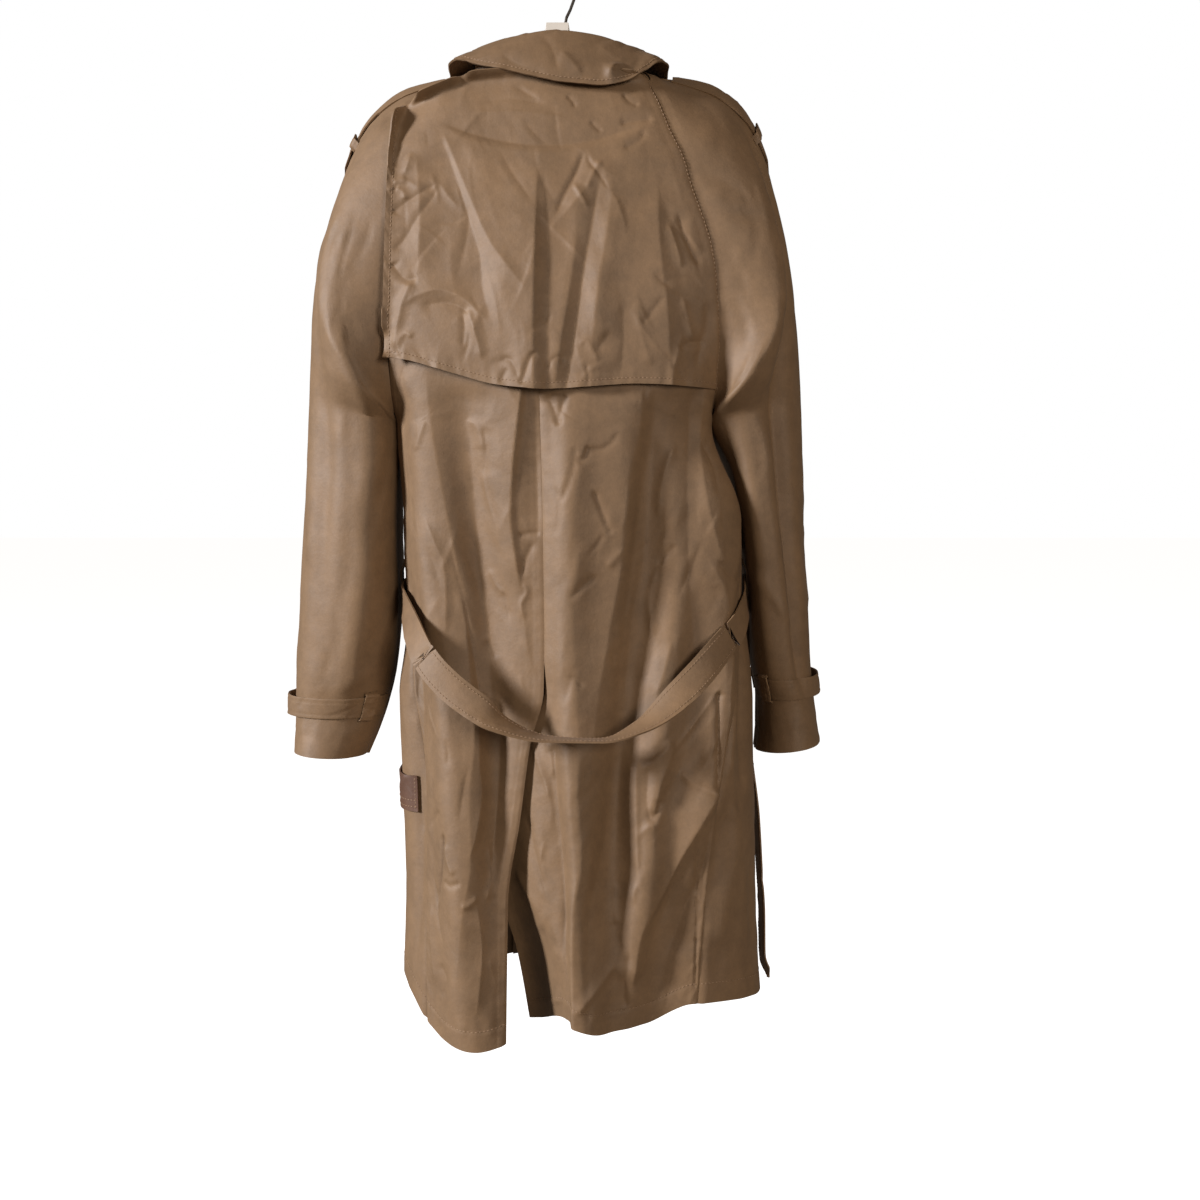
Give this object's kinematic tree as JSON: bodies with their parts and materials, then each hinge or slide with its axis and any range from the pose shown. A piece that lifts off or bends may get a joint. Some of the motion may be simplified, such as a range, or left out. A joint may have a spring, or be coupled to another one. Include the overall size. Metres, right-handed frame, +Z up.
{
  "type": "trench coat on a hanger",
  "caption": "Knee-length raglan trench coat hanging on a plain hanger, with storm flap, shoulder and cuff straps, back vent and a belt sagging between its side loops.",
  "frame": {"origin": "inside top of the hook's bend, where the rail carries the hanger", "axes": "+Z up, -Y towards the coat's back (the pictured side), +X towards the wearer's right"},
  "size_m": [0.5864, 0.2891, 1.1451],
  "materials": {
    "coat_cloth": "thin smooth raincoat cloth with a soft pinkish sheen",
    "pocket_cloth": "the same cloth, darker and redder, doubled",
    "button": "moulded dark brown, satin",
    "hanger_plastic": "moulded off-white, satin",
    "hook_metal": "drawn wire, dull"
  },
  "bodies": {
    "root": {"back_left": "coat_cloth", "back_right": "coat_cloth", "front_left": "coat_cloth", "front_right": "coat_cloth", "sleeve_left_back": "coat_cloth", "sleeve_left_front": "coat_cloth", "sleeve_right_back": "coat_cloth", "sleeve_right_front": "coat_cloth", "storm_flap": "coat_cloth", "collar": "coat_cloth", "epaulette_left": "coat_cloth", "epaulette_right": "coat_cloth", "epaulette_loop_left": "coat_cloth", "epaulette_loop_right": "coat_cloth", "cuff_strap_left": "coat_cloth", "cuff_strap_right": "coat_cloth", "cuff_loop_left": "coat_cloth", "cuff_loop_right": "coat_cloth", "belt": "coat_cloth", "belt_loop_left": "coat_cloth", "belt_loop_right": "coat_cloth", "lapel_left": "coat_cloth", "lapel_right": "coat_cloth", "pocket_flap_left": "pocket_cloth", "pocket_flap_right": "pocket_cloth", "button_1": "button", "button_2": "button", "button_3": "button", "button_4": "button", "button_5": "button", "button_6": "button", "hanger": "hanger_plastic", "hook": "hook_metal"}
  },
  "joints": []
}
